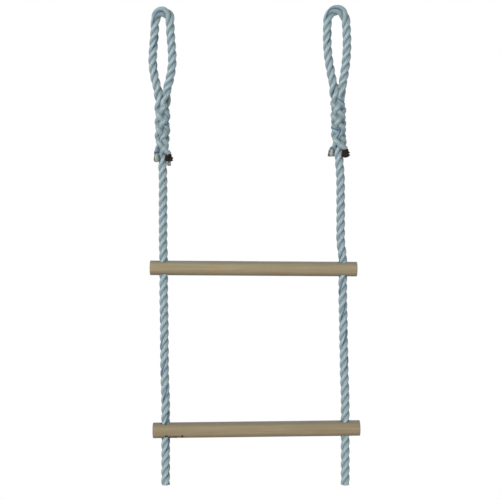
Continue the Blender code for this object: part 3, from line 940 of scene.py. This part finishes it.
for name, (centre_x, centre_z, radius, slope) in RUNGS.items():
    tilt = math.radians(slope)
    along, across = Vector((math.cos(tilt), 0, math.sin(tilt))), Vector((0, 1, 0))
    middle, half = Vector((centre_x, 0, centre_z)), RUNG_LENGTH / 2
    edge = [(half - RUNG_CHAMFER * (1 - math.sin(a)), radius - RUNG_CHAMFER * (1 - math.cos(a)))
            for a in np.linspace(math.pi / 2, 0, CHAMFER_STEPS + 1)]
    inner = half - RUNG_CHAMFER
    steps = [(-at, size) for at, size in edge]
    steps += [(at, radius) for at in np.linspace(-inner, inner, RUNG_RINGS)[1:-1]]
    steps += reversed(edge)
    rings = [circle_round(middle + along * at, along, across, size, RUNG_SIDES) for at, size in steps]
    rung = lofted(f"{name}_bar", rings, beech_material(name))
    tools = []
    for side in LINES:
        x = rope_x(side, centre_z)
        spot = Vector((x, 0, centre_z + (x - centre_x) * math.tan(tilt)))
        clear_up, clear_back = Vector((0, 0, 1.5 * radius)), across * 2 * radius
        for hole, low, high, hole_radius, hole_sides in (
                ("rope_hole", -clear_up, clear_up, ROPE_HOLE_R, ROPE_HOLE_SIDES),
                ("nail_hole", -across * (NAIL_DEPTH + NAIL_GAP), clear_back, NAIL_HOLE_R, NAIL_HOLE_SIDES),
                ("nail_sink", across * (radius - NAIL_SINK_DEPTH), clear_back, NAIL_SINK_R, NAIL_SINK_SIDES)):
            tools.append(drill(rung, f"{name}_{side}_{hole}", spot + low, spot + high, hole_radius, hole_sides))
    bpy.context.view_layer.update()
    graph = bpy.context.evaluated_depsgraph_get()
    drilled = bpy.data.meshes.new_from_object(rung.evaluated_get(graph))
    rung.modifiers.clear()
    rung.data = drilled
    for tool in tools:
        bpy.data.objects.remove(tool, do_unlink=True)
    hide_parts(name)
    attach(rung, name)

# The nails. One holds each rope in each rung: a plain round steel nail, driven in from behind with its flat head
# sunk a little below the wood.
NAIL_R = 0.0015
NAIL_POINT_R, NAIL_POINT_LENGTH = 0.0003, 0.0030
NAIL_NECK_R, NAIL_NECK_LENGTH = NAIL_R * 1.2, 0.0004
NAIL_HEAD_R = 0.0030
NAIL_HEAD_THICK = 0.0012
# The head's outline from its underside up: how far up, and how far inside its full radius.
NAIL_HEAD_EDGE = ((0.0, 0.0002), (0.0002, 0.0), (0.0009, 0.0), (0.0011, 0.0001), (NAIL_HEAD_THICK, 0.0004))
NAIL_SIDES = 40
STEEL_BRIGHT = (0.40, 0.40, 0.41)
STEEL_DULL = (0.24, 0.22, 0.21)


def nail_material():
    """Plain nail steel, dulled in small patches."""
    made, tree, shader, place = new_material("nail_steel")
    dulled = blotched(tree, place, 0.0012, 2.0)
    tree.links.new(mixed(tree, dulled, STEEL_BRIGHT, STEEL_DULL), shader.inputs["Base Color"])
    tree.links.new(eased(tree, dulled, 0.2, 0.8, 0.34, 0.58), shader.inputs["Roughness"])
    shader.inputs["Metallic"].default_value = 1.0
    return made


nail_steel = nail_material()

for name, (centre_x, centre_z, radius, slope) in RUNGS.items():
    for side in LINES:
        x = rope_x(side, centre_z)
        z = centre_z + (x - centre_x) * math.tan(math.radians(slope))
        head = radius - NAIL_SINK_DEPTH + NAIL_GAP
        steps = [(-NAIL_DEPTH, NAIL_POINT_R), (-NAIL_DEPTH + NAIL_POINT_LENGTH, NAIL_R),
                 (head - NAIL_NECK_LENGTH, NAIL_R), (head, NAIL_NECK_R)]
        steps += [(head + up, NAIL_HEAD_R - inside) for up, inside in NAIL_HEAD_EDGE]
        rings = [circle_round(Vector((x, y, z)), Vector((0, 1, 0)), Vector((1, 0, 0)), size, NAIL_SIDES)
                 for y, size in steps]
        nail = lofted(f"{name}_{side}_nail", rings, nail_steel)
        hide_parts(f"{name}_{side}_pin")
        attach(nail, name)

# The studio: a white room with soft light from the upper left, a weaker light from the right, and a pale floor
# well below the ladder.
FLOOR_DROP = 1.60
FLOOR_HALF = 1.5
FLOOR_WHITE = (0.85, 0.85, 0.85, 1)
SKY_WHITE = (1, 1, 1, 1)
SKY_LIGHT, SKY_LIGHT_STRENGTH = (0.92, 0.96, 1.0, 1), 0.50
LIGHTS = (
    # name, place, size, power
    ("key_light", (-2.6, -3.0, 1.4), 1.2, 138),
    ("fill_light", (1.4, -1.8, -0.8), 1.2, 9),
    ("back_light", (0.5, 1.8, 0.6), 1.2, 10),
)

for name, place, size, power in LIGHTS:
    light_data = bpy.data.lights.new(name, "AREA")
    light_data.energy = power
    light_data.size = size
    light = bpy.data.objects.new(name, light_data)
    light.location = place
    light.rotation_euler = (VIEW_MIDDLE - Vector(place)).to_track_quat("-Z", "Y").to_euler()
    scene.collection.objects.link(light)

world = bpy.data.worlds.new("white_room")
world.use_nodes = True
scene.world = world
backdrop = world.node_tree
seen = add_node(backdrop, "ShaderNodeBackground", {"Color": SKY_WHITE, "Strength": 1.0})
lit = backdrop.nodes["Background"]
lit.inputs["Color"].default_value = SKY_LIGHT
lit.inputs["Strength"].default_value = SKY_LIGHT_STRENGTH
straight = backdrop.nodes.new("ShaderNodeLightPath").outputs["Is Camera Ray"]
which = add_node(backdrop, "ShaderNodeMixShader", {0: straight, 1: lit.outputs[0], 2: seen.outputs[0]})
backdrop.links.new(which.outputs[0], backdrop.nodes["World Output"].inputs["Surface"])
scene.view_settings.view_transform = "Standard"

floor_mesh = bpy.data.meshes.new("floor")
corners = [(x * FLOOR_HALF, y * FLOOR_HALF, -FLOOR_DROP) for x, y in ((-1, -1), (1, -1), (1, 1), (-1, 1))]
floor_mesh.from_pydata(corners, [], [(0, 1, 2, 3)])
floor = bpy.data.objects.new("floor", floor_mesh)
floor_finish, _, floor_shader, _ = new_material("pale_floor")
floor_shader.inputs["Base Color"].default_value = FLOOR_WHITE
floor_mesh.materials.append(floor_finish)
scene.collection.objects.link(floor)
